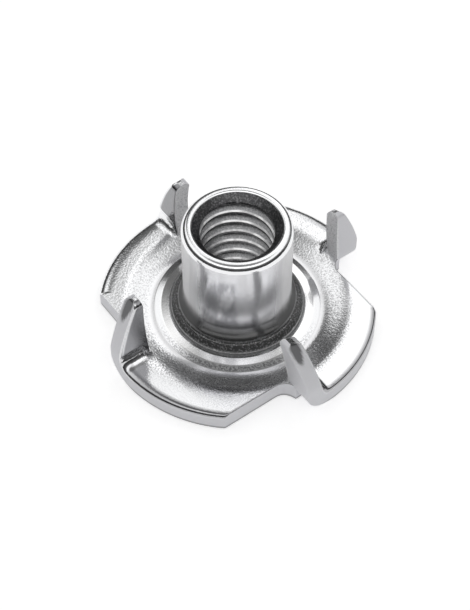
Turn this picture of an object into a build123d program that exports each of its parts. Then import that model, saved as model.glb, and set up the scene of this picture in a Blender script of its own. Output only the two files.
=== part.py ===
from build123d import *
import math
import os

# Tee nut: a disc of sheet steel with a barrel drawn up from its middle, and four prongs cut from
# the rim and folded up. Millimetres, +Z up, origin on the axis at the underside of the flange.

# Flange
flange_diameter = 19.5
sheet_thickness = 1.45
roll_over_radius = 0.35      # the blanking die rounds the upper edge of the rim

# Dish pressed into the upper face round the barrel, with a low step inside it. Their edges, and
# the cuts that free the prongs, lie at these shares of the way from the barrel's wall to the rim.
flare_share = 0.175          # foot of the barrel's flare
step_top_share = 0.267
step_share = 0.35
dish_floor_share = 0.442
cut_share = 0.605
dish_share = 0.717
dish_depth = 0.45
step_height = 0.15
flare_foot_rise = 0.06       # the top of the step climbs this much to the foot of the flare

# Barrel
barrel_diameter = 7.5
barrel_height = 9.5          # from the underside of the flange
flare_height = 2.6           # where the flare meets the wall of the barrel
barrel_edge_break = 0.15

# Bore, at the crest of an M6 thread
bore_diameter = 5.0
countersink_share = 0.52     # of the wall's thickness, at the mouth
countersink_angle = 45.0     # between the cone and the axis
bore_entry_radius = 1.2      # drawn edge at the underside

# Prongs
prong_count = 4
prong_height = 6.6           # from the underside of the flange
prong_thickness = 1.2
tip_width = 0.5
tip_radius = 0.2
tip_drop = 0.5               # the tip slopes down this much from the outer face to the inner one
cut_draft = 0.25             # the prong is this much narrower at the tip, along its cut
shoulder_radius = 2.0        # where the old rim turns in towards the tip
shoulder_angle = 16.0
fold_radius = 0.8            # inside of the fold
notch_radius = 0.9           # in the corner between a cut and the prong that it ends at

# How far cutters pass what they cut
overrun = 1.0

flange_radius = flange_diameter / 2
barrel_radius = barrel_diameter / 2
bore_radius = bore_diameter / 2
mouth_radius = bore_radius + countersink_share * (barrel_radius - bore_radius)
dish_floor_level = sheet_thickness - dish_depth
step_level = dish_floor_level + step_height
fold_top = sheet_thickness + fold_radius
countersink_depth = (mouth_radius - bore_radius) / math.tan(math.radians(countersink_angle))


def ring_radius(share):
    """Distance from the axis, at a share of the way from the barrel's wall to the rim."""
    return barrel_radius + share * (flange_radius - barrel_radius)


cut_distance = ring_radius(cut_share)
rim_pick_angle = math.degrees(math.asin(cut_distance / flange_radius)) / 2


def nut_section():
    """Half section through the axis: underside, rim, dish, step, flare, barrel and bore."""
    with BuildSketch(Plane.XZ) as section:
        with BuildLine():
            underside = Line((bore_radius + bore_entry_radius, 0), (flange_radius, 0))
            rim = Line(underside @ 1, (flange_radius, sheet_thickness))
            petal = Line(rim @ 1, (ring_radius(dish_share), sheet_thickness))
            dish_floor_edge = (ring_radius(dish_floor_share), dish_floor_level)
            dish = Spline(petal @ 1, dish_floor_edge, tangents=((-1, 0), (-1, 0)))
            dish_floor = Line(dish @ 1, (ring_radius(step_share), dish_floor_level))
            step = Line(dish_floor @ 1, (ring_radius(step_top_share), step_level))
            step_top = Line(step @ 1, (ring_radius(flare_share), step_level + flare_foot_rise))
            flare = Line(step_top @ 1, (barrel_radius, flare_height))
            wall = Line(flare @ 1, (barrel_radius, barrel_height - barrel_edge_break))
            lip = Line(wall @ 1, (barrel_radius - barrel_edge_break, barrel_height))
            lip_face = Line(lip @ 1, (mouth_radius, barrel_height))
            countersink = Line(lip_face @ 1, (bore_radius, barrel_height - countersink_depth))
            bore = Line(countersink @ 1, (bore_radius, bore_entry_radius))
            TangentArc(bore @ 1, underside @ 0, tangent=(0, -1))
        make_face()
    return section.sketch


def leg_section():
    """Section across a fold on the prong's side: the bend and the upright leg up to its sloping tip."""
    outer_face = -prong_thickness
    with BuildSketch(Plane.YZ) as section:
        with BuildLine():
            bend = TangentArc((0, 0), (outer_face, prong_thickness), tangent=(-1, 0))
            Polyline(bend @ 1, (outer_face, prong_height), (0, prong_height - tip_drop), (0, 0))
        make_face()
    return section.sketch


def root_section():
    """Section across a fold on the flange's side: the sheet and the hollow curve up to the leg."""
    with BuildSketch(Plane.YZ) as section:
        with BuildLine():
            hollow = TangentArc((0, fold_top), (fold_radius, sheet_thickness), tangent=(0, -1))
            Polyline(hollow @ 1, (fold_radius, 0), (0, 0), (0, fold_top))
        make_face()
    return section.sketch


def prong_outline():
    """Outline of a prong: straight along the cut, curved along the old rim, blunt at the tip."""
    shoulder = (flange_radius, fold_top)
    cut_end = (cut_distance + cut_draft, prong_height)
    tip_corner = (cut_distance + cut_draft + tip_width, prong_height)
    with BuildSketch(Plane.XZ) as outline:
        with BuildLine():
            turn_in = JernArc(shoulder, (0, 1), shoulder_radius, shoulder_angle)
            TangentArc(turn_in @ 1, tip_corner, tangent=turn_in % 1)
            Polyline(tip_corner, cut_end, (cut_distance, 0), (flange_radius, 0), shoulder)
        make_face()
        fillet(outline.vertices().sort_by_distance(tip_corner)[0], tip_radius)
    return outline.sketch


def prong():
    """One prong, folded up beside the X axis."""
    width = flange_radius - cut_distance
    start = Pos(cut_distance, 0, 0)
    leg = start * extrude(leg_section(), amount=width)
    leg = leg & extrude(prong_outline(), amount=prong_height, both=True)
    root = start * extrude(root_section(), amount=width)
    root = root & Cylinder(flange_radius, 2 * prong_height)
    return leg + root


def gap():
    """What is cut away beside a prong: the sheet it was folded from, and the slot under its bend."""
    reach = flange_diameter
    height = 2 * (sheet_thickness + overrun)
    with BuildSketch() as plan:
        with Locations((cut_distance, -prong_thickness)):
            Rectangle(reach, reach, align=(Align.MIN, Align.MAX))
        corner = plan.vertices().sort_by_distance((cut_distance, -prong_thickness))[0]
        fillet(corner, notch_radius)
        with Locations((cut_distance + notch_radius, fold_radius)):
            Rectangle(reach, prong_thickness + fold_radius, align=(Align.MIN, Align.MAX))
    return extrude(plan.sketch, amount=height, both=True)


def tee_nut():
    nut = revolve(nut_section(), axis=Axis.Z)
    beside = gap()
    folded = prong()
    places = [Rot(Z=turn * 360 / prong_count) for turn in range(prong_count)]
    nut -= [place * beside for place in places]
    nut += [place * folded for place in places]
    # The rim runs on over each fold and up its prong, so one pick on it rounds the whole edge.
    rim = Rot(Z=rim_pick_angle) * Pos(flange_radius, 0, 0)
    picks = [(place * rim).position for place in places]
    upper_edges = [nut.edges().sort_by_distance(pick + (0, 0, sheet_thickness))[0] for pick in picks]
    return fillet(upper_edges, roll_over_radius)


os.makedirs("parts", exist_ok=True)
nut = tee_nut()
nut.label = "tee_nut"
export_step(nut, "parts/tee_nut.step")
print("tee_nut", nut.volume, nut.bounding_box().size)
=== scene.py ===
import math
import bmesh
import bpy
import numpy as np
from mathutils import Matrix, Vector


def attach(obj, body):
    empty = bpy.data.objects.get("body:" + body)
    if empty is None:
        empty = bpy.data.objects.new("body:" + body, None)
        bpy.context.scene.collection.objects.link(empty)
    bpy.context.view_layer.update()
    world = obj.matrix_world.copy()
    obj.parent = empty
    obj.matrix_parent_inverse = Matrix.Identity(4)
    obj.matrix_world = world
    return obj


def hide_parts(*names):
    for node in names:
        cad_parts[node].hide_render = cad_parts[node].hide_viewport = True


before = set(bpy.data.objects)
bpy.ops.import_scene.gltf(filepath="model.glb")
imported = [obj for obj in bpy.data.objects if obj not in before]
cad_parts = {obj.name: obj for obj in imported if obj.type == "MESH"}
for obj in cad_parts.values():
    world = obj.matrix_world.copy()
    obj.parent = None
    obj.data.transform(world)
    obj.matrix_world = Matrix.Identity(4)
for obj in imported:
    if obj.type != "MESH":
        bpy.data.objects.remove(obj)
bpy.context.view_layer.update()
print("frame loaded:", sorted(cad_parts))

mm = 0.001
fullTurn = 2 * math.pi
quarterTurn = math.pi / 2

# sizes of the nut in millimetres and degrees; those that the solid has too are the same there
nutShape = {
    # flange: its rolled upper edge, how that sways round the rim, and small breaks at the foot and the cuts
    "rim": 9.75, "sheet": 1.45, "rollOver": 0.35, "rollDeepen": 0.2, "rollWide": 1.6, "rollSway": 1.0,
    "rollTurn": 180.0, "footBreak": 0.06, "cutBreak": 0.05,
    # dish, and the low step inside it
    "dishStart": 8.052, "dishFloor": 6.0, "dishDepth": 0.45,
    "stepFoot": 5.85, "stepTop": 5.352, "stepRise": 0.15,
    # flare; its raised lines as share of the way down, height and half width in that share
    "flareFoot": 4.8, "flareRise": 0.06, "flareTop": 2.6, "flareRound": 2.0,
    "flareLines": [(0.15, 0.02, 0.028), (0.71, 0.035, 0.035)],
    # barrel and its lip, bore with its countersink and drawn entry
    "barrel": 3.75, "height": 9.5, "lipOut": 0.45, "lipDown": 0.55, "mouthRound": 0.06,
    "bore": 2.5, "mouth": 3.1, "entry": 1.2,
    # cuts with their notches, folds, and the lift of the underside towards a fold
    "cut": 7.38, "cutGap": 0.004, "cutFade": 0.25, "notch": 0.9, "notchFade": 0.12, "cornerBlend": 0.03,
    "fold": 0.8, "foldBlend": 0.5, "foldRoll": 0.5, "foldRollReach": 0.9, "footLift": 0.18, "liftReach": 1.5,
    # mesh: points closer than this are one, slivers below this go, edges that turn more than this are sharp
    "mergeReach": 0.0008, "sliverReach": 0.0002, "sharpTurn": 38.0,
}
dishLevel = nutShape["sheet"] - nutShape["dishDepth"]
stepLevel = dishLevel + nutShape["stepRise"]
flareLevel = stepLevel + nutShape["flareRise"]
foldTop = nutShape["sheet"] + nutShape["fold"]

# thread: M6, with its grooves cut outwards from the bore's crest; heights of its ends, and its run-out. In
# shares of a pitch: half of crest and root, and how far past the crest its painted highlight ends and has
# faded
threadShape = {"pitch": 1.0, "depth": 0.5, "crestHalf": 0.09, "rootHalf": 0.08, "phase": 0.5,
               "brightEnd": 0.06, "brightFade": 0.09, "crestRow": 0.7,
               "low": 0.2, "high": 9.42, "runOut": 0.35}

# prongs: the bend, the upright leg and the tip
prongShape = {
    "thickness": 1.2, "tip": 6.6, "tipWidth": 0.5, "tipRadius": 0.2, "draft": 0.25,
    "shoulderRadius": 2.0, "shoulderTurn": 16.0, "edgeRoll": 0.12, "leanGrowth": 1.3,
    "tipRound": 0.5, "tipFlat": 0.3, "tipTurn": 0.1, "capSizes": (0.93, 0.5, 0.0),
    # stations: 0 to 1 round the bend and on to 2 at the tip
    "bendStations": 14, "legStations": 26, "tipStations": (1.996, 2.0), "bendRise": 0.06, "legStart": 0.7,
    # facet worn into the rim edge near the tip, which gets painted shade, and painted shade along the line
    # where the cut meets the inner face
    "facetDepth": 0.03, "facetFoot": 0.6, "facetBow": 1.3, "facetMiddle": 0.6, "facetFade": 0.08,
    "facetEdge": 0.96, "facetEdgeFade": 0.12, "creaseStart": 0.9, "creaseFade": 0.3,
    # prong by prong: degrees short of upright, top of the outer face, how much lower the inner face ends,
    # how far the cut edge is set back half way up, at the tip and at the root, and how dark the painted shade
    # along its crease is
    "leans": [10.0, 1.0, 2.0, 0.0], "tips": [6.75, 6.5, 6.2, 7.0], "drops": [0.6, 0.6, 0.1, 0.0],
    "bows": [-0.1, 0.1, 0.28, 0.1], "hooks": [-0.2, 0.0, -0.1, 0.0], "roots": [0.1, 0.6, 0.0, 0.0],
    "creases": [0.3, 0.3, 1.0, 0.3],
}

# finish of each part of the surface: sheet, bore, lip, barrel, sheared edge, flare, rolled edge, and a
# prong's inner face and cut face; the painted highlight on the thread's crest is up to crestRise over the
# bore's code
zoneCodes = {"plain": 0, "bored": 1, "lipped": 2, "drawn": 3, "sheared": 4, "flared": 5, "rolled": 6,
             "bent": 7, "cleft": 8}
crestRise = 0.5

# rows of the nut's section, stretch by stretch
rowCounts = {
    "entry": 6, "mouth": 5, "crown": 3, "lip": 14, "wall": 8, "arc": 8, "flare": 6, "dish": 10, "petal": 9,
    "roll": 7, "edge": 9, "foot": 3, "underOuter": 7, "underInner": 6,
}

# columns of a quarter: how many for each stretch, the turn that the fold spans, and where the notch lies
columnShape = {"fold": 9, "rim": 28, "corner": 14, "cut": 12, "notch": 14, "end": 7,
               "foldSpan": 1.05, "foldRadius": 8.6, "cornerTurn": 2.0,
               "notchStart": 73.0, "notchSpan": 10.0, "endSpan": 7.0}


# Soft minimum: minus h times the log of the summed exponentials of minus each value over h.
def softMin(a, b, h):
    low = np.minimum(a, b)
    return low - h * np.log(np.exp(-(a - low) / h) + np.exp(-(b - low) / h))


# Smooth step: 3t squared minus 2t cubed, with t held between 0 and 1.
def smoothStep(t):
    t = np.clip(t, 0, 1)
    return t * t * (3 - 2 * t)


# Evenly spaced shares from 0 to 1, the last one left out.
def shares(count):
    return np.arange(count) / count


# shares and turns that the flange's edge and the prong's loop have in common
petalShares, underShares = shares(rowCounts["petal"]), shares(rowCounts["underOuter"])
edgeShares = shares(rowCounts["edge"])
rollTurns, footTurns = shares(rowCounts["roll"]) * quarterTurn, shares(rowCounts["foot"]) * quarterTurn


# Plan outline: the rim's circle, or the straight cut at cut / sin(turn), whichever is nearer the axis.
# In the corner beside the next prong a quarter circle swells the cut out, by the distance still to go.
def outlineRadius(turn):
    s, n = nutShape, nutShape["notch"]
    web = np.zeros_like(turn)
    for again in range(4):  # the swell moves the point it is read at, and settles in a few rounds
        away = (s["cut"] + web) / np.tan(np.maximum(turn, 1e-6))
        into = np.clip(prongShape["thickness"] + n - away, 0, n)
        web = (n - np.sqrt(n * n - into * into)) * smoothStep(away / s["notchFade"])
    cutLine = (s["cut"] + web) / np.maximum(np.sin(turn), 1e-9)
    return softMin(np.full_like(turn, s["rim"]), cutLine, s["cornerBlend"])


# Upper face of the sheet: flat petal, then a smooth step down into the dish.
def sheetLevel(radius):
    s = nutShape
    down = smoothStep((s["dishStart"] - radius) / (s["dishStart"] - s["dishFloor"]))
    return s["sheet"] - s["dishDepth"] * down


# Hollow of the fold: a quarter circle that rises from the petal to the leg, fading in past the cut.
def foldRise(x, y):
    f = nutShape["fold"]
    reach = np.clip(f - y, 0, f)
    rise = f - np.sqrt(np.maximum(f * f - reach * reach, 0))
    return rise * smoothStep((x - nutShape["cut"]) / nutShape["foldBlend"])


# Rolled edge of the rim: its depth and width both sway with the cosine of the turn from its widest side.
def rollSizes(around):
    s = nutShape
    sway = np.cos(around - math.radians(s["rollTurn"]))
    return s["rollOver"] * (1 + s["rollDeepen"] * sway), s["rollWide"] + s["rollSway"] * sway


# Underside: lifts towards a fold by the square of the nearness to it, fading in past the cut.
def underLift(x, y):
    s = nutShape
    near = np.clip(1 - y / s["liftReach"], 0, 1)
    return s["footLift"] * near ** 2 * smoothStep((x - s["cut"]) / s["foldBlend"])


# Thread: straight flanks between a crest and a root, by the distance in phase from the crest's middle.
def threadRadius(phase):
    t = threadShape
    away = np.abs((phase + 0.5) % 1.0 - 0.5)
    climb = np.clip((away - t["crestHalf"]) / (0.5 - t["rootHalf"] - t["crestHalf"]), 0, 1)
    return nutShape["bore"] + t["depth"] * climb


# Turns of a quarter's columns, from a fold to the next: even, but closer by a cosine at the fold, by a
# smooth step at the corner of rim and cut, and by a sine at the end.
def quarterTurns():
    c = columnShape
    corner, near = math.asin(nutShape["cut"] / nutShape["rim"]), math.radians(c["cornerTurn"])
    foldEnd = c["foldSpan"] * nutShape["fold"] / c["foldRadius"]
    start, end = math.radians(c["notchStart"]), math.radians(c["notchStart"] + c["notchSpan"])
    q = shares(c["corner"])
    return np.concatenate([
        foldEnd * (1 - np.cos(shares(c["fold"]) * quarterTurn)),
        foldEnd + (corner - near - foldEnd) * shares(c["rim"]),
        corner - near + near * smoothStep(q) + near * q,
        corner + near + (start - corner - near) * shares(c["cut"]),
        start + math.radians(c["notchSpan"]) * shares(c["notch"]),
        end + math.radians(c["endSpan"]) * np.sin(shares(c["end"]) * quarterTurn),
        [quarterTurn],
    ])


# Bore: an arc about (bore + entry, entry), then rows that climb with the helix and are held between its
# ends. The wall is the widest of the thread, the countersink's cone and the entry's arc.
def boreRows(around):
    s, t, plain, bored = nutShape, threadShape, zoneCodes["plain"], zoneCodes["bored"]
    bend = math.acos(1 - t["low"] / s["entry"]) * shares(rowCounts["entry"])
    foot = s["bore"] + s["entry"] * (1 - np.sin(bend)), s["entry"] * (1 - np.cos(bend)), plain

    # one pitch from crest to root and back, with the painted highlight on the upper side of the crest
    half, root = t["crestHalf"], 0.5 - t["rootHalf"]
    steps = np.array([0, t["crestRow"] * half, half, half + t["brightEnd"], half + t["brightFade"],
                      0.5 * (half + root), root, 0.5])
    bright = np.array([0, 0, 1, 1, 0, 0, 0, 0])
    steps = np.concatenate([steps, 1 - steps[1:-1][::-1]])
    bright = np.concatenate([bright, np.zeros(len(steps) - len(bright))])
    laps = np.arange(-2, math.ceil(s["height"] / t["pitch"]) + 1)
    climb = t["pitch"] * (around[:, None] / fullTurn + t["phase"])
    z = np.clip((laps[:, None] + steps).ravel() * t["pitch"] + climb, t["low"], t["high"])

    coneFoot = s["height"] - s["mouth"] + s["bore"]
    runOut = 1 - smoothStep((z - coneFoot + t["runOut"]) / t["runOut"])
    thread = s["bore"] + (threadRadius((z - climb) / t["pitch"]) - s["bore"]) * runOut
    cone = s["bore"] + np.maximum(z - coneFoot, 0)
    under = np.clip(s["entry"] - z, 0, s["entry"])
    entry = s["bore"] + s["entry"] - np.sqrt(s["entry"] ** 2 - under ** 2)
    wall = np.maximum(np.maximum(thread, cone), entry)
    return [foot, (wall, z, bored + crestRise * np.tile(bright, len(laps)) * runOut)]


# Lip: a quadratic curve through the mouth's corner, a narrow flat ring, then a quarter ellipse to the wall.
def lipRows():
    s, high, lipped = nutShape, threadShape["high"], zoneCodes["lipped"]
    q = shares(rowCounts["mouth"])
    inner, brow = s["mouth"] - (s["height"] - high), s["mouth"] + s["mouthRound"]
    mouth = inner * (1 - q) ** 2 + 2 * s["mouth"] * q * (1 - q) + brow * q * q
    mouthHigh = high * (1 - q) ** 2 + s["height"] * (2 * q * (1 - q) + q * q)
    crown = s["barrel"] - s["lipOut"]
    ring = brow + (crown - brow) * shares(rowCounts["crown"])
    b = shares(rowCounts["lip"]) * quarterTurn
    outer, outerHigh = crown + s["lipOut"] * np.sin(b), s["height"] - s["lipDown"] * (1 - np.cos(b))
    return [(mouth, mouthHigh, lipped), (ring, s["height"], lipped), (outer, outerHigh, lipped)]


# Barrel: a straight wall, an arc that turns it out by the flare's lean, then the flare's cone, with each
# of its raised lines a bell curve across the cone.
def barrelRows():
    s, drawn, flared = nutShape, zoneCodes["drawn"], zoneCodes["flared"]
    wallTop, bow = s["height"] - s["lipDown"], s["flareRound"]
    lean = math.atan2(s["flareFoot"] - s["barrel"], s["flareTop"] - flareLevel)
    arcTop = s["flareTop"] + bow * math.tan(lean / 2)
    wallHigh = wallTop + (arcTop - wallTop) * shares(rowCounts["wall"])
    b = lean * shares(rowCounts["arc"])
    arc, arcHigh = s["barrel"] + bow * (1 - np.cos(b)), arcTop - bow * np.sin(b)
    arcFoot, arcLow = s["barrel"] + bow * (1 - math.cos(lean)), arcTop - bow * math.sin(lean)
    beside = np.array([-0.07, -0.045, -0.02, 0.0, 0.02, 0.045, 0.07])  # rows close to each line
    close = [place + beside for place, rise, wide in s["flareLines"]]
    q = np.sort(np.concatenate([shares(rowCounts["flare"]), *close]))
    line = sum(rise * np.exp(-((q - place) / wide) ** 2) for place, rise, wide in s["flareLines"])
    flare, flareHigh = arcFoot + (s["flareFoot"] - arcFoot) * q, arcLow + (flareLevel - arcLow) * q
    return [(s["barrel"], wallHigh, drawn), (arc, arcHigh, drawn), (flare + line, flareHigh + line, flared)]


# Step and dish: straight lines with a close row either side of each corner, then the sheet's own level.
def dishRows():
    s, plain = nutShape, zoneCodes["plain"]
    corners = np.array([[s["flareFoot"], flareLevel], [s["stepTop"], stepLevel],
                        [s["stepFoot"], dishLevel], [s["dishFloor"], dishLevel]])
    near = np.array([0, 0.12, 0.5, 0.88])[None, :, None]
    run = (corners[:-1, None] + (corners[1:] - corners[:-1])[:, None] * near).reshape(-1, 2)
    r = s["dishFloor"] + (s["cut"] - s["dishFloor"]) * shares(rowCounts["dish"])
    return [(run[:, 0], run[:, 1], plain), (r, sheetLevel(r), plain)]


# Petal from the circle through the cuts' ends to its outline, a quarter ellipse over the rolled edge, the
# rim or cut face, a quarter circle at the foot, and the underside. Heights rise by the underside's lift
# times one minus their share of the edge's height.
def petalRows(turn, around):
    s, plain, sheared = nutShape, zoneCodes["plain"], zoneCodes["sheared"]
    turn, around = turn[:, None], around[:, None]
    out = outlineRadius(turn)
    room = np.clip((out - s["cut"]) * 0.5, 0, None)
    onCut = smoothStep((s["rim"] - s["cutGap"] - out) / s["cutFade"])
    deeper = 1 + s["foldRoll"] * (1 - smoothStep(s["rim"] * np.sin(turn) / s["foldRollReach"]))
    down, wide = rollSizes(around)
    roll = np.minimum(down * deeper + (s["cutBreak"] - down) * onCut, room)
    rollOut = np.minimum(roll * (1 + (wide - 1) * (1 - onCut)), room)
    foot = np.minimum(s["footBreak"], room)

    # upper face: the sheet's level plus the fold's hollow
    def level(r):
        return sheetLevel(r) + foldRise(r * np.cos(turn), r * np.sin(turn))

    # lift of the underside at a distance from the axis
    def below(r):
        return underLift(r * np.cos(turn), r * np.sin(turn))

    top, lift = level(out - rollOut), below(out)

    # height on the edge plus its part of the lift
    def lifted(z):
        return z + lift * (1 - z / top)

    petal = s["cut"] + (out - rollOut - s["cut"]) * petalShares
    over, overHigh = out - rollOut + rollOut * np.sin(rollTurns), top - roll * (1 - np.cos(rollTurns))
    edgeHigh = (top - roll) * (1 - edgeShares) + foot * edgeShares
    under = out - foot + (s["cut"] - out + foot) * underShares
    middle = s["cut"] + (s["bore"] + s["entry"] - s["cut"]) * shares(rowCounts["underInner"])
    return [
        (petal, level(petal), plain),
        (over, lifted(overHigh), zoneCodes["rolled"]),
        (out, lifted(edgeHigh), sheared),
        (out - foot * (1 - np.cos(footTurns)), lifted(foot * (1 - np.sin(footTurns))), sheared),
        (under, below(under), plain),
        (middle, 0, plain),
    ]


# Closed section at every column: distance from the axis, height and finish, with each block of rows spread
# to all columns.
def nutSection(turn, around):
    blocks = [*boreRows(around), *lipRows(), *barrelRows(), *dishRows(), *petalRows(turn, around)]
    ones = np.ones((len(turn), 1))
    spread = [np.broadcast_arrays(*[part * ones for part in block]) for block in blocks]
    return [np.hstack(rows) for rows in zip(*spread)]


# Prong outline: a small circle turns the old rim in, a large one runs on to the tip, and the tip's own
# circle touches that one and the tip's level. Heights are those of a prong that ends at the usual height.
def prongReach(z):
    s, p = nutShape, prongShape
    turnIn, first, small = math.radians(p["shoulderTurn"]), p["shoulderRadius"], p["tipRadius"]
    x1, z1 = s["rim"] - first * (1 - math.cos(turnIn)), foldTop + first * math.sin(turnIn)
    across, rise = x1 - s["cut"] - p["draft"] - p["tipWidth"], p["tip"] - z1
    big = math.hypot(across, rise) / (2 * math.sin(math.atan2(across, rise) - turnIn))
    bigX, bigZ = x1 - big * math.cos(turnIn), z1 - big * math.sin(turnIn)
    climb = np.clip(z - foldTop, 0, first * math.sin(turnIn))
    shoulder = s["rim"] - first + np.sqrt(first ** 2 - climb ** 2)
    flank = bigX + np.sqrt(big ** 2 - np.clip(z - bigZ, 0, p["tip"] - bigZ) ** 2)
    smallX = bigX + math.sqrt((big - small) ** 2 - (p["tip"] - small - bigZ) ** 2)
    tangent = bigZ + (p["tip"] - small - bigZ) * big / (big - small)
    rounded = smallX + np.sqrt(np.maximum(small ** 2 - (z - p["tip"] + small) ** 2, 0))
    return np.where(z > tangent, rounded, np.where(z > z1, flank, shoulder))


# One value, or row of values, for each side of a prong's loop: inner face, rolled edge, rim edge, foot,
# outer face and cut face, laid end to end.
def loopRow(*parts):
    sides = [petalShares, rollTurns, edgeShares, footTurns, underShares, edgeShares]
    return np.concatenate([0 * side + part for side, part in zip(sides, parts)])


# Facet: on the rim edge, above a parabola across it, with smooth steps at its foot and outer side.
def prongFacet(legPart):
    p = prongShape
    run = loopRow(0, 0, edgeShares, 0, 0, 0)
    above = legPart - p["facetFoot"] - p["facetBow"] * (run - p["facetMiddle"]) ** 2
    inside = smoothStep((p["facetEdge"] - run) / p["facetEdgeFade"])
    return loopRow(0, 1, 1, 0, 0, 0) * (smoothStep(above / p["facetFade"]) * inside)


# Prong: loops carried from the fold up the leg. A loop's point is the outer face's line plus its share of
# the way to the inner face; the outer line is a quarter circle, then upright, and the inner one is upright.
# A lean moves a point sideways by a power of its height over the sheet.
def prongGrid(number):
    s, p, zones = nutShape, prongShape, zoneCodes
    tip, drop, foot = p["tips"][number], p["drops"][number], s["footBreak"]
    legRun = 1 + np.sin(shares(p["legStations"]) * quarterTurn)
    along = np.concatenate([shares(p["bendStations"]), legRun, p["tipStations"]])[:, None]
    bendPart, legPart, early = np.clip(along, 0, 1), np.clip(along - 1, 0, 1), 1 - smoothStep(along)
    angle = bendPart * quarterTurn
    outerY = -p["thickness"] * np.sin(angle)
    outerZ = p["thickness"] * (1 - np.cos(angle)) + (tip - p["thickness"]) * legPart
    climb = p["bendRise"] * bendPart + (1 - p["bendRise"]) * legPart
    deep = foldTop + (p["thickness"] - foldTop) * bendPart

    # the loop: each point's share of the width, depth in the sheet, and how far its edge is rounded in
    down, wide = rollSizes(number * quarterTurn)
    roll = p["edgeRoll"] + (down * (1 + s["foldRoll"]) - p["edgeRoll"]) * early
    rollOut = np.minimum(roll * (1 + (wide - 1) * early), 0.5 * (s["rim"] - s["cut"]))
    share = loopRow(petalShares, 1, 1, 1, 1 - underShares, 0)
    depth = loopRow(1, 1, 1 - edgeShares, 0, 0, edgeShares)
    inset = rollOut * loopRow(1, 1 - np.sin(rollTurns), 0, 0, 0, 0)
    inset = inset + foot * loopRow(0, 0, 0, 1 - np.cos(footTurns), 1, 0)
    fromTop = roll * loopRow(0, 1 - np.cos(rollTurns), 1 - edgeShares, 0, 0, 0)
    fromFoot = foot * loopRow(0, 0, edgeShares, 1 - np.sin(footTurns), 0, 0)

    # heights: the inner face starts where the fold's hollow ends, and the tip narrows as an ellipse does
    footX = s["cut"] + share * (s["rim"] - s["cut"]) - share * inset
    innerFoot = sheetLevel(footX) + foldRise(footX, 0 * footX)
    innerZ = innerFoot + (tip - drop - innerFoot) * climb
    depth = depth + (fromFoot - fromTop) / np.where(along == 0, innerFoot, deep)
    near = np.clip((legPart - 1) * (tip - p["thickness"]) / p["tipRound"] + 1, 0, 1)
    slim = np.sqrt(1 - (1 - p["tipFlat"] ** 2) * near ** 2)
    depth = 0.5 + (depth - 0.5) * slim
    lift = 1 + 2 * p["thickness"] / s["liftReach"] * np.sin(angle)
    outerZ = outerZ + underLift(footX, 0 * footX) * lift * (1 - legPart)
    z = outerZ + (innerZ - outerZ) * depth

    # the outline is read at the height's share of the way to the tip that this point runs up to
    ownTip = tip - drop * depth
    asFull = foldTop + (p["tip"] - foldTop) * (z - foldTop) / (ownTip - foldTop)
    up = np.clip((z - s["sheet"]) / (tip - s["sheet"]), 0, 1) * smoothStep(along)
    side = s["cut"] + p["draft"] * up + p["bows"][number] * np.sin(np.pi * up) + p["hooks"][number] * up ** 2
    side = side + p["roots"][number] * (1 - up) ** 2 * (1 - early) + p["tipTurn"] * (1 - slim)
    facet = prongFacet(legPart)
    x = side + share * (prongReach(np.where(z < foldTop, z, asFull)) - side) - share * inset
    x = x - p["facetDepth"] * facet
    lean = math.tan(math.radians(p["leans"][number])) * (tip - s["sheet"])
    y = outerY * (1 - depth) - lean * up ** p["leanGrowth"]

    # finishes; the tip is closed by smaller and smaller loops, in the plain one
    # painted shade along the crease where the cut face meets the inner face, in the facet mask's first row
    facet[:, 0] = p["creases"][number] * smoothStep((along[:, 0] - p["creaseStart"]) / p["creaseFade"])
    plain, sheared, rolled = zones["plain"], zones["sheared"], zones["rolled"]
    zone = loopRow(zones["bent"], rolled, sheared, sheared, sheared, zones["cleft"]) + 0 * z
    zone[along[:, 0] < p["legStart"]] = loopRow(plain, rolled, sheared, sheared, sheared, sheared)
    loops = np.stack([x, y, z], -1)
    middle = loops[-1].mean(0)
    caps = np.stack([middle + (loops[-1] - middle) * size for size in p["capSizes"]])
    blank = np.zeros(caps.shape[:2])
    zone, facet = np.concatenate([zone, blank + plain]), np.concatenate([facet, blank])
    return np.concatenate([loops, caps]), zone, facet


# Closed quads between neighbouring rows of a grid whose loops close on themselves: point i, j is i times
# the row length plus j.
def loopQuads(stations, rows):
    i, j = np.meshgrid(np.arange(stations - 1), np.arange(rows), indexing="ij")
    k = (j + 1) % rows
    return np.stack([i * rows + j, (i + 1) * rows + j, (i + 1) * rows + k, i * rows + k], -1).reshape(-1, 4)


# Points turned about the axis: x cos a minus y sin a, and x sin a plus y cos a.
def turned(points, angle):
    c, s = math.cos(angle), math.sin(angle)
    return points @ np.array([[c, s, 0], [-s, c, 0], [0, 0, 1]])


# Masks of the finishes, 1 where a finish lies; the crest's painted highlight is the code's rise over the
# bore's, as a share.
def finishMasks(zones, facets):
    bored = zoneCodes["bored"]
    masks = {name: zones == code for name, code in zoneCodes.items() if name not in ("plain", "bored")}
    masks["sheared"] = masks["sheared"] | masks["cleft"]
    masks["bored"] = (zones >= bored) & (zones <= bored + crestRise)
    masks["crested"] = np.where(masks["bored"], (zones - bored) / crestRise, 0)
    masks["faceted"] = facets
    return masks


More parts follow.
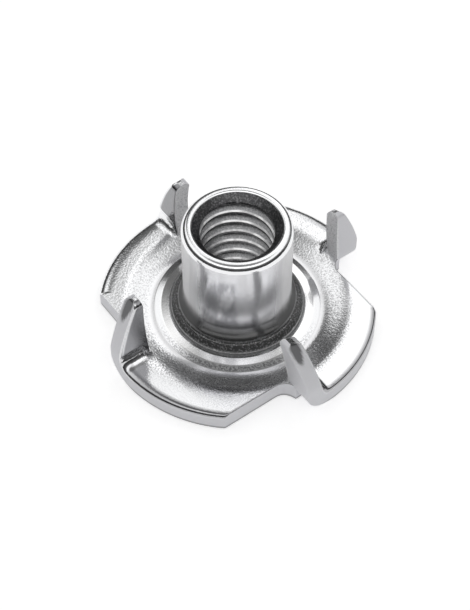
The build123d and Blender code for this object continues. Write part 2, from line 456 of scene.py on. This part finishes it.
# Nut: four quarters of the turned section and four prongs, merged where they meet.
def buildNut():
    turn = quarterTurns()
    grids = []
    for quarter in range(4):
        around = turn + quarter * quarterTurn
        r, z, zone = nutSection(turn, around)
        grid = np.stack([r * np.cos(around)[:, None], r * np.sin(around)[:, None], z], -1)
        grids.append((grid, zone, np.zeros(r.shape)))
    for quarter in range(4):
        grid, zone, facet = prongGrid(quarter)
        grids.append((turned(grid.reshape(-1, 3), quarter * quarterTurn), zone, facet))
    starts = np.cumsum([0] + [zone.size for grid, zone, facet in grids])
    quads = [loopQuads(*zone.shape) + start for (grid, zone, facet), start in zip(grids, starts)]
    faces = np.concatenate(quads)
    points = np.concatenate([grid.reshape(-1, 3) for grid, zone, facet in grids]) * mm
    zones = np.concatenate([zone.ravel() for grid, zone, facet in grids])
    facets = np.concatenate([facet.ravel() for grid, zone, facet in grids])

    mesh = bpy.data.meshes.new("teeNut")
    mesh.from_pydata(points, [], faces)
    masks = finishMasks(zones, facets)
    for name, mask in masks.items():
        layer = mesh.attributes.new(name, "FLOAT", "POINT")
        layer.data.foreach_set("value", mask.astype(np.float32))
    work = bmesh.new()
    work.from_mesh(mesh)
    bmesh.ops.remove_doubles(work, verts=work.verts, dist=nutShape["mergeReach"] * mm)
    bmesh.ops.dissolve_degenerate(work, edges=work.edges, dist=nutShape["sliverReach"] * mm)
    bmesh.ops.recalc_face_normals(work, faces=work.faces)
    work.to_mesh(mesh)
    work.free()
    mesh.polygons.foreach_set("use_smooth", np.ones(len(mesh.polygons), bool))
    mesh.set_sharp_from_angle(angle=math.radians(nutShape["sharpTurn"]))
    nut = bpy.data.objects.new("teeNut", mesh)
    bpy.context.scene.collection.objects.link(nut)

    # a closed surface has two faces at every edge
    edgeOf = np.empty(len(mesh.loops), np.int32)
    mesh.loops.foreach_get("edge_index", edgeOf)
    openEdges = np.count_nonzero(np.bincount(edgeOf, minlength=len(mesh.edges)) != 2)
    triangles = len(mesh.loops) - 2 * len(mesh.polygons)
    print("nut built:", len(mesh.vertices), "points,", triangles, "triangles,", openEdges, "edges not closed")
    return nut


nut = buildNut()
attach(nut, "root")
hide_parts("tee_nut")


# A socket that takes part in sums: an expression on values adds its Math nodes.
class Wire:
    def __init__(self, tree, socket=None):
        self.tree, self.socket = tree, socket

    # any node: its type, its settings, then the values or links of its sockets
    def node(self, kind, settings=None, values=None, output=0):
        made = self.tree.nodes.new(kind)
        for name, value in (settings or {}).items():
            setattr(made, name, value)
        for name, value in (values or {}).items():
            if isinstance(value, Wire):
                self.tree.links.new(value.socket, made.inputs[name])
            else:
                made.inputs[name].default_value = value
        return Wire(self.tree, made.outputs[output]) if made.outputs else made

    # one Math node on two values
    def math(self, operation, first, second):
        return self.node("ShaderNodeMath", {"operation": operation}, {0: first, 1: second})

    def __add__(self, other):
        return self.math("ADD", self, other)

    def __sub__(self, other):
        return self.math("SUBTRACT", self, other)

    def __rsub__(self, other):
        return self.math("SUBTRACT", other, self)

    def __mul__(self, other):
        return self.math("MULTIPLY", self, other)

    __radd__, __rmul__ = __add__, __mul__

    # smooth step of this value between two limits
    def rise(self, low, high):
        return self.node("ShaderNodeMapRange", {"interpolation_type": "SMOOTHSTEP"},
                         {"Value": self, "From Min": low, "From Max": high})

    # 1 between two pairs of limits: it rises over the first pair and falls over the second
    def band(self, first, second):
        return self.rise(*first) * (1 - self.rise(*second))

    # colour part of the way from one colour to another
    def blend(self, first, second):
        return self.node("ShaderNodeMix", {"data_type": "RGBA"}, {0: self, 6: first, 7: second}, 2)


# Opaque colour: red, green, blue and a 1.
def rgb(red, green, blue):
    return (red, green, blue, 1.0)


# Empty node tree of a material or world.
def newTree(block):
    block.use_nodes = True
    block.node_tree.nodes.clear()
    return Wire(block.node_tree)


# How far a vector reaches along a direction: their dot product.
def reachAlong(vector, way):
    return vector.node("ShaderNodeVectorMath", {"operation": "DOT_PRODUCT"}, {0: vector, 1: way}, "Value")


# Noise at a place: its scale is one over the size of a spot.
def noise(place, size, detail, roughness):
    return place.node("ShaderNodeTexNoise", None,
                      {"Vector": place, "Scale": 1 / size, "Detail": detail, "Roughness": roughness})


# camera, in degrees and metres: where it looks from, how far off, and how far its aim is from the origin
cameraLook = {"azimuth": 54.0, "elevation": 52.567, "distance": 0.1033225,
              "right": -0.0001558, "up": 0.0005529, "lens": 86.06, "sensor": 36.0,
              "clipStart": 0.005, "clipEnd": 10.0}
facing = math.radians(cameraLook["azimuth"])
rightWay = Vector((math.cos(facing), math.sin(facing), 0))
awayWay = Vector((-math.sin(facing), math.cos(facing), 0))

# finish of the plated steel: bright and finely grained on the sheet, satin on the barrel, matte where sheared
plateLook = {
    # colours of the sheet, the barrel, the sheared edges, the prongs and the bore; painted highlights on the
    # step top and the thread's crest, painted light on the barrel's sides, and painted shade on the front
    # slopes, the rolled edge, the barrel's low front, the flare, the edges' foot, the prongs' inner faces and
    # facets, and the bore
    "sheet": rgb(0.89, 0.895, 0.905), "speck": rgb(0.3, 0.3, 0.31), "slopeShade": rgb(0.25, 0.25, 0.26),
    "stepHighlight": rgb(0.97, 0.97, 0.97), "trough": rgb(0.7, 0.7, 0.71), "rolled": rgb(0.4, 0.4, 0.41),
    "drawn": rgb(0.8, 0.8, 0.82), "sideLight": rgb(0.98, 0.98, 0.99), "darkAndShade": rgb(0.3, 0.3, 0.32),
    "flared": rgb(0.13, 0.13, 0.13), "sheared": rgb(0.8, 0.8, 0.825), "footShadow": rgb(0.4, 0.4, 0.41),
    "cleft": rgb(0.97, 0.97, 0.98), "bent": rgb(0.27, 0.27, 0.28), "faceted": rgb(0.13, 0.13, 0.135),
    "bored": rgb(0.22, 0.22, 0.225), "coneShade": rgb(0.15, 0.15, 0.155), "crested": rgb(0.8, 0.8, 0.8),
    # roughness, with what the specks and the barrel's sides add to it, and shares of metal
    "sheetRough": 0.12, "shearedRough": 0.62, "drawnRough": 0.19, "boredRough": 0.3, "facetedRough": 0.2,
    "flaredRough": 0.4, "speckRough": 0.2, "sideRough": 0.3,
    "shearedMetal": 0.5, "drawnMetal": 0.85, "sideChalk": 0.5,
    # noises: size of a spot in metres, detail and roughness; two are stretched up the barrel
    "grainNoise": (0.00014, 2.0, 0.6), "grainHeight": 0.000016, "speckNoise": (0.00012, 1.0, 0.5),
    "cloudNoise": (0.0016, 2.0, 0.5), "lineNoise": (0.0009, 3.0, 0.5),
    "streakNoise": (0.0011, 2.0, 0.5), "streakStretch": (1.0, 1.0, 0.12),
    "patchNoise": (0.0005, 3.0, 0.5), "patchStretch": (1.0, 1.0, 0.3),
    # where the noises count, and how much
    "streak": (0.45, 0.7), "streaks": 0.2, "patch": (0.3, 0.6), "patches": 0.7, "patchSway": 0.0004,
    "lowShade": 0.5, "darkAndShadeMost": 0.95, "cloud": (0.4, 0.62), "line": (0.4, 0.6), "lineLeast": 0.35,
    "sheetSpeck": (0.45, 0.68), "specks": 0.34, "speckLeast": 0.3, "speckCloud": 0.4, "speckSlope": 0.4,
    "slopeShadeSpeck": (0.44, 0.58), "slopeShadeShare": 0.5, "stepShadeShare": 0.7,
    "cleftSpeck": (0.48, 0.7), "cleftSpecks": 0.4, "boreSpeck": (0.45, 0.7), "boreSpecks": 0.25,
    "flareSpeck": (0.5, 0.7), "flareSpecks": 0.35,
    # how much less grain each finish has, and how much fewer specks and dents the front petal
    "grainLess": {"sheared": 0.8, "drawn": 0.8, "bored": 0.3, "lipped": 0.75}, "stepLess": 0.85,
    "outerLess": 0.8, "outerSmooth": 0.6,
    # limits on the barrel of its patches, its painted shade low in front, its sides' painted light and its
    # foot's
    # painted shade: turns from the front in radians, heights in metres
    "panel": ((-0.7, -0.5), (-0.1, 0.06)), "panelTop": (0.0076, 0.0084),
    "low": ((-0.6, -0.3), (0.25, 0.5)), "lowTop": (0.0033, 0.0044), "footTop": (0.0028, 0.0042),
    "side": (0.4, 1.0),
    # limits of the rings round it, in metres from the axis
    "step": ((0.0045, 0.005), (0.0059, 0.0066)), "slope": ((0.006, 0.0066), (0.0074, 0.0084)),
    "stepSlope": ((0.0053, 0.0055), (0.0057, 0.0059)), "stepTop": ((0.0047, 0.0049), (0.0053, 0.0055)),
    "dishFloor": ((0.0057, 0.0059), (0.006, 0.0065)), "outer": (0.0078, 0.0088), "flareEnd": (0.00445, 0.005),
    # limits towards the front, and heights of the painted shadow at the foot of an edge and of the
    # countersink
    "outerFront": (-0.005, 0.001), "slopeShadeFront": (0.001, 0.005), "rollFront": (-0.006, 0.002),
    "edgeFoot": (0.0001, 0.0003), "cone": (0.0086, 0.009),
}


# What the finish reads: place on the nut, height, distance from the axis, reach to the right and to the
# front, turn from the front as the angle of those two, and the masks.
def surfaceMaps(wire):
    place = wire.node("ShaderNodeTexCoord", output="Object")
    flat = wire.node("ShaderNodeVectorMath", {"operation": "MULTIPLY"}, {0: place, 1: (1, 1, 0)})
    maps = {name: wire.node("ShaderNodeAttribute", {"attribute_name": name}, output="Fac")
            for name in [*zoneCodes, "crested", "faceted"] if name != "plain"}
    maps["place"] = place
    maps["height"] = wire.node("ShaderNodeSeparateXYZ", None, {0: place}, "Z")
    maps["radius"] = wire.node("ShaderNodeVectorMath", {"operation": "LENGTH"}, {0: flat}, "Value")
    maps["across"], maps["near"] = reachAlong(place, rightWay), reachAlong(place, -awayWay)
    maps["turn"] = wire.math("ARCTAN2", maps["across"], maps["near"])
    maps["side"] = (maps["turn"] * maps["turn"]).rise(*plateLook["side"])
    maps["speck"] = noise(place, *plateLook["speckNoise"])
    return maps


# Barrel: its colour goes to a dark one by patches on one side, by painted shade low in front and by streaks
# along the draw, added up to a limit; its sides get painted light, and its foot the flare's painted shade.
def barrelColour(wire, maps):
    look, place, height, turn = plateLook, maps["place"], maps["height"], maps["turn"]
    long = wire.node("ShaderNodeMapping", None, {"Vector": place, "Scale": look["streakStretch"]})
    short = wire.node("ShaderNodeMapping", None, {"Vector": place, "Scale": look["patchStretch"]})
    streak, patch = noise(long, *look["streakNoise"]), noise(short, *look["patchNoise"])
    patchy = patch.rise(*look["patch"])
    panel = turn.band(*look["panel"]) * (1 - height.rise(*look["panelTop"]))
    # painted shade: the barrel darkens low in front, partly everywhere there and more where the patches are
    low = turn.band(*look["low"]) * (1 - height.rise(*look["lowTop"]))
    darkAndShade = panel * patchy * look["patches"] + low * (look["lowShade"] + patchy * (1 - look["lowShade"]))
    darkAndShade = wire.math("MINIMUM", darkAndShade + streak.rise(*look["streak"]) * look["streaks"], look["darkAndShadeMost"])
    # painted light: the barrel's sides, turned away from the front, take a lighter colour
    colour = darkAndShade.blend(maps["side"].blend(look["drawn"], look["sideLight"]), look["darkAndShade"])
    # painted shade: the barrel's foot takes the flare's dark colour
    foot = 1 - (height + patch * look["patchSway"]).rise(*look["footTop"])
    return foot.blend(colour, look["flared"])


# Sheet: its colour goes to dark specks and to painted shade speckled over the slopes in front, then to the
# step top's painted highlight, the dish floor's colour and the roll's painted shade.
def sheetColour(maps, specks, slope):
    look, radius, near = plateLook, maps["radius"], maps["near"]
    # painted shade: dark specks on the slope and the step's slope, only on the front side
    slopeShades = maps["speck"].rise(*look["slopeShadeSpeck"]) * near.rise(*look["slopeShadeFront"])
    slopeShades = slopeShades * (slope * look["slopeShadeShare"] + radius.band(*look["stepSlope"]) * look["stepShadeShare"])
    colour = (specks * look["specks"]).blend(look["sheet"], look["speck"])
    colour = slopeShades.blend(colour, look["slopeShade"])
    # painted highlight: the step top is brighter
    colour = radius.band(*look["stepTop"]).blend(colour, look["stepHighlight"])
    colour = radius.band(*look["dishFloor"]).blend(colour, look["trough"])
    # painted shade: the rolled edge darkens towards the front and the right
    return (maps["rolled"] * (near + maps["across"]).rise(*look["rollFront"])).blend(colour, look["rolled"])


# Plated steel: each finish's colour and roughness is laid over the sheet's by its mask. Grain and specks are
# noise times one minus each finish's share.
def platedSteel():
    look = plateLook
    material = bpy.data.materials.new("platedSteel")
    wire = newTree(material)
    maps = surfaceMaps(wire)
    height, radius, speck, side = maps["height"], maps["radius"], maps["speck"], maps["side"]
    sheared, drawn, bored, flared = maps["sheared"], maps["drawn"], maps["bored"], maps["flared"]

    # grain of the plating: fine dark specks and small dents, fainter on the step, the edges and the barrel
    grained = 1 - radius.band(*look["step"]) * look["stepLess"]
    for name, less in look["grainLess"].items():
        grained = grained - maps[name] * less
    grain = noise(maps["place"], *look["grainNoise"])
    cloud = noise(maps["place"], *look["cloudNoise"]).rise(*look["cloud"])
    slope = radius.band(*look["slope"])
    outer = radius.rise(*look["outer"]) * maps["near"].rise(*look["outerFront"])
    spread = look["speckLeast"] + cloud * look["speckCloud"] + slope * look["speckSlope"]
    specks = speck.rise(*look["sheetSpeck"]) * grained * (spread * (1 - outer * look["outerLess"]))

    # colours of the prongs and edges, the barrel, the bore with its thread, and the flare; the prongs' inner
    # faces, the edges' foot, the bore and the flare get painted shade, the thread's crest a painted highlight
    # painted shade: the prongs' inner faces are dark
    colour = maps["bent"].blend(sheetColour(maps, specks, slope), look["bent"])
    # painted shadow: the sheared faces darken along their foot
    colour = sheared.blend(colour, height.rise(*look["edgeFoot"]).blend(look["footShadow"], look["sheared"]))
    mottle = speck.rise(*look["cleftSpeck"]) * look["cleftSpecks"]
    colour = maps["cleft"].blend(colour, mottle.blend(look["cleft"], look["darkAndShade"]))
    colour = drawn.blend(colour, barrelColour(wire, maps))
    # painted shade: the bore is dark and its countersink darker, mottled towards the sheet's colour
    wall = height.rise(*look["cone"]).blend(look["bored"], look["coneShade"])
    mottle = speck.rise(*look["boreSpeck"]) * look["boreSpecks"]
    colour = bored.blend(colour, mottle.blend(wall, look["sheet"]))
    # painted highlight: a bright line along the thread's crest, broken up by noise
    line = noise(maps["place"], *look["lineNoise"]).rise(*look["line"])
    crest = maps["crested"] * (look["lineLeast"] + line * (1 - look["lineLeast"]))
    colour = crest.blend(colour, look["crested"])
    # painted shade: the flare is dark, mottled towards the sheet's colour
    mottle = speck.rise(*look["flareSpeck"]) * look["flareSpecks"]
    flare = flared * (1 - radius.rise(*look["flareEnd"]))
    colour = flare.blend(colour, mottle.blend(look["flared"], look["sheet"]))
    # painted shade: the facets near the tips and the creases are dark
    colour = maps["faceted"].blend(colour, look["faceted"])

    # roughness and metal
    plain = look["sheetRough"]
    rough = plain + sheared * (look["shearedRough"] - plain) + specks * look["speckRough"]
    rough = rough + drawn * (look["drawnRough"] - plain + side * look["sideRough"])
    rough = rough + bored * (look["boredRough"] - plain) + flared * (look["flaredRough"] - plain)
    rough = rough + maps["faceted"] * (look["facetedRough"] - look["shearedRough"])
    chalky = drawn * (1 - look["drawnMetal"] + side * look["sideChalk"])
    metal = 1 - sheared * (1 - look["shearedMetal"]) - chalky
    dents = grain * grained * (1 - outer * look["outerSmooth"])
    normal = wire.node("ShaderNodeBump", None,
                       {"Height": dents, "Distance": look["grainHeight"], "Strength": 1.0})
    shader = wire.node("ShaderNodeBsdfPrincipled", None,
                       {"Base Color": colour, "Roughness": rough, "Metallic": metal, "Normal": normal})
    wire.node("ShaderNodeOutputMaterial", None, {"Surface": shader})
    return material


nut.data.materials.append(platedSteel())
print("finish made")

# floor: white card under the nut, which keeps the soft shadow
floorLook = {"half": 2.0, "colour": rgb(0.86, 0.86, 0.86), "glow": 0.5}


# Floor: one square. Rays from the camera, in reflections and through glass see its card plus an even glow,
# and others the card alone.
def whiteFloor():
    half = floorLook["half"]
    mesh = bpy.data.meshes.new("floor")
    corners = [(-half, -half, 0), (half, -half, 0), (half, half, 0), (-half, half, 0)]
    mesh.from_pydata(corners, [], [(0, 1, 2, 3)])
    floor = bpy.data.objects.new("floor", mesh)
    bpy.context.scene.collection.objects.link(floor)
    material = bpy.data.materials.new("whiteCard")
    wire = newTree(material)
    card = wire.node("ShaderNodeBsdfDiffuse", None, {"Color": floorLook["colour"]})
    camera = wire.node("ShaderNodeLightPath", output="Is Camera Ray")
    glossy = wire.node("ShaderNodeLightPath", output="Is Glossy Ray")
    through = wire.node("ShaderNodeLightPath", output="Is Transmission Ray")
    glow = wire.node("ShaderNodeEmission", None, {"Strength": floorLook["glow"]})
    lit = wire.node("ShaderNodeAddShader", None, {0: card, 1: glow})
    seen = wire.node("ShaderNodeMixShader", None, {0: camera + glossy + through, 1: card, 2: lit})
    wire.node("ShaderNodeOutputMaterial", None, {"Surface": seen})
    mesh.materials.append(material)
    print("floor laid")


whiteFloor()

# studio: a white tent overhead with a dark opening at its top, over a dark room; limits are parts of a
# direction of length 1
studioLook = {
    "tent": 1.08, "edge": (0.55, 0.66), "edgeTilt": 0.15,
    "opening": 0.88, "top": (0.895, 0.96), "topTilt": 0.1,
    "leftEdge": 0.27, "left": ((-0.45, -0.25), (-0.1, 0.06)), "behind": (0.3, 0.5),
    "brighter": 0.25, "bright": ((-0.02, 0.06), (0.14, 0.3)), "front": 0.35, "frontPart": (-0.4, -0.2),
    "room": 0.04, "haze": 0.08, "hazeHeight": (0.2, 0.6),
    "right": 0.2, "rightPart": (0.5, 0.75), "rightHeight": (0.1, 0.4), "rightBehind": (0.0, 0.3),
}


# Light of a direction: the tent's where height, tilted back, is over its edge, less the opening at the top;
# brighter at one place behind and in front. Elsewhere the room's, with haze by height and a paler right side.
def studioLight():
    look = studioLook
    world = bpy.data.worlds.new("studio")
    wire = newTree(world)
    way = wire.node("ShaderNodeTexCoord", output="Generated")
    across, away = reachAlong(way, rightWay), reachAlong(way, awayWay)
    height = wire.node("ShaderNodeSeparateXYZ", None, {0: way}, "Z")
    behind = away.rise(*look["behind"])
    opening = (height + away * look["topTilt"]).rise(*look["top"])
    left = across.band(*look["left"]) * behind
    tent = (height + away * look["edgeTilt"] - left * look["leftEdge"]).rise(*look["edge"])
    tent = tent * (1 - opening * look["opening"])
    brighter = across.band(*look["bright"]) * behind * look["brighter"]
    front = (1 - away.rise(*look["frontPart"])) * look["front"]
    right = across.rise(*look["rightPart"]) * height.rise(*look["rightHeight"])
    right = right * away.rise(*look["rightBehind"])
    rest = look["room"] + height.rise(*look["hazeHeight"]) * look["haze"] + right * look["right"]
    light = tent * (1 + brighter + front) * look["tent"] + (1 - tent) * rest
    sky = wire.node("ShaderNodeBackground", None, {"Color": light, "Strength": 1.0})
    wire.node("ShaderNodeOutputWorld", None, {"Surface": sky})
    bpy.context.scene.world = world
    print("studio lit")


studioLight()
bpy.context.scene.view_settings.view_transform = "Standard"


# Camera: set back from its aim along the look's direction, with right, up and back as its three axes.
def placeCamera():
    look = cameraLook
    data = bpy.data.cameras.new("camera")
    data.sensor_width, data.lens = look["sensor"], look["lens"]
    data.clip_start, data.clip_end = look["clipStart"], look["clipEnd"]
    camera = bpy.data.objects.new("camera", data)
    bpy.context.scene.collection.objects.link(camera)
    high = math.radians(look["elevation"])
    back = Vector((0, 0, math.sin(high))) - awayWay * math.cos(high)
    up = back.cross(rightWay)
    spot = back * look["distance"] + rightWay * look["right"] + up * look["up"]
    camera.matrix_world = Matrix.Translation(spot) @ Matrix((rightWay, up, back)).transposed().to_4x4()
    bpy.context.scene.camera = camera
    print("camera placed")


placeCamera()
